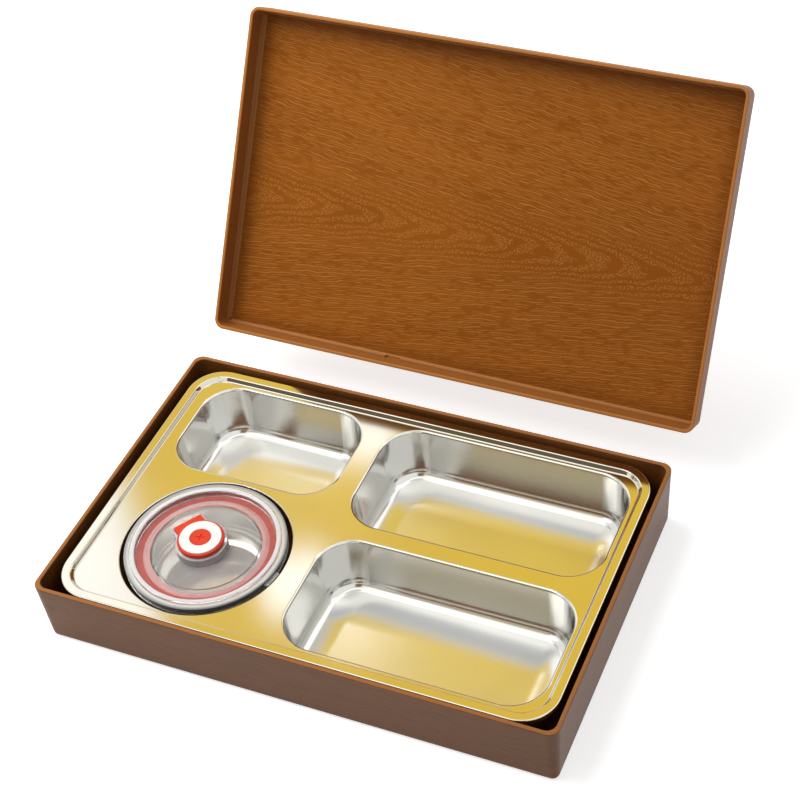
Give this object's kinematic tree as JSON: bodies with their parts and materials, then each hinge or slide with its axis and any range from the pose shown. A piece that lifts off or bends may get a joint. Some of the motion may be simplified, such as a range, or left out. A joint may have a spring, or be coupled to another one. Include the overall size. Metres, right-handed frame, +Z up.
{
  "type": "bento lunch box",
  "caption": "Wood-look lunch box with a loose overlapping lid, a pressed steel tray with food pockets, and a covered steel soup bowl in a round opening.",
  "frame": {"origin": "middle of the outer box's flat underside", "axes": "+X along the box to its right-hand end, +Y from the front to the back where the lid stands open, +Z up"},
  "size_m": [0.3054, 0.3378, 0.206],
  "materials": {
    "box_plastic": "satin brown with a fine moulded wood grain",
    "lid_plastic": "satin orange-brown with a moulded wood grain",
    "tray_steel": "polished deck, satin pockets",
    "bowl_steel": "satin",
    "clear_plastic": "clear, slightly milky",
    "seal_silicone": "matt red",
    "plug_silicone": "matt red",
    "ring_plastic": "gloss white"
  },
  "bodies": {
    "base": {"base_box": "box_plastic"},
    "lid": {"lid": "lid_plastic"},
    "tray": {"tray": "tray_steel"},
    "bowl": {"soup_bowl": "bowl_steel"},
    "cover": {"bowl_cover": "clear_plastic", "cover_seal": "seal_silicone"},
    "vent": {"vent_plug": "plug_silicone", "vent_ring": "ring_plastic"}
  },
  "joints": [
    {"name": "lid_swing", "type": "hinge", "parent": "base", "child": "lid", "pos_m": [0, 0.113, 0.0285], "axis": [-1, 0, 0], "range_deg": [-122.5, 0]},
    {"name": "tray_lift", "type": "slide", "parent": "base", "child": "tray", "axis": [0, 0, 1], "range_m": [0, 0.06]},
    {"name": "bowl_lift", "type": "slide", "parent": "base", "child": "bowl", "axis": [0, 0, 1], "range_m": [0, 0.06]},
    {"name": "bowl_cover_lift", "type": "slide", "parent": "bowl", "child": "cover", "axis": [0, 0, 1], "range_m": [0, 0.06]},
    {"name": "vent_lift", "type": "slide", "parent": "cover", "child": "vent", "axis": [0, 0, 1], "range_m": [0, 0.008]}
  ]
}
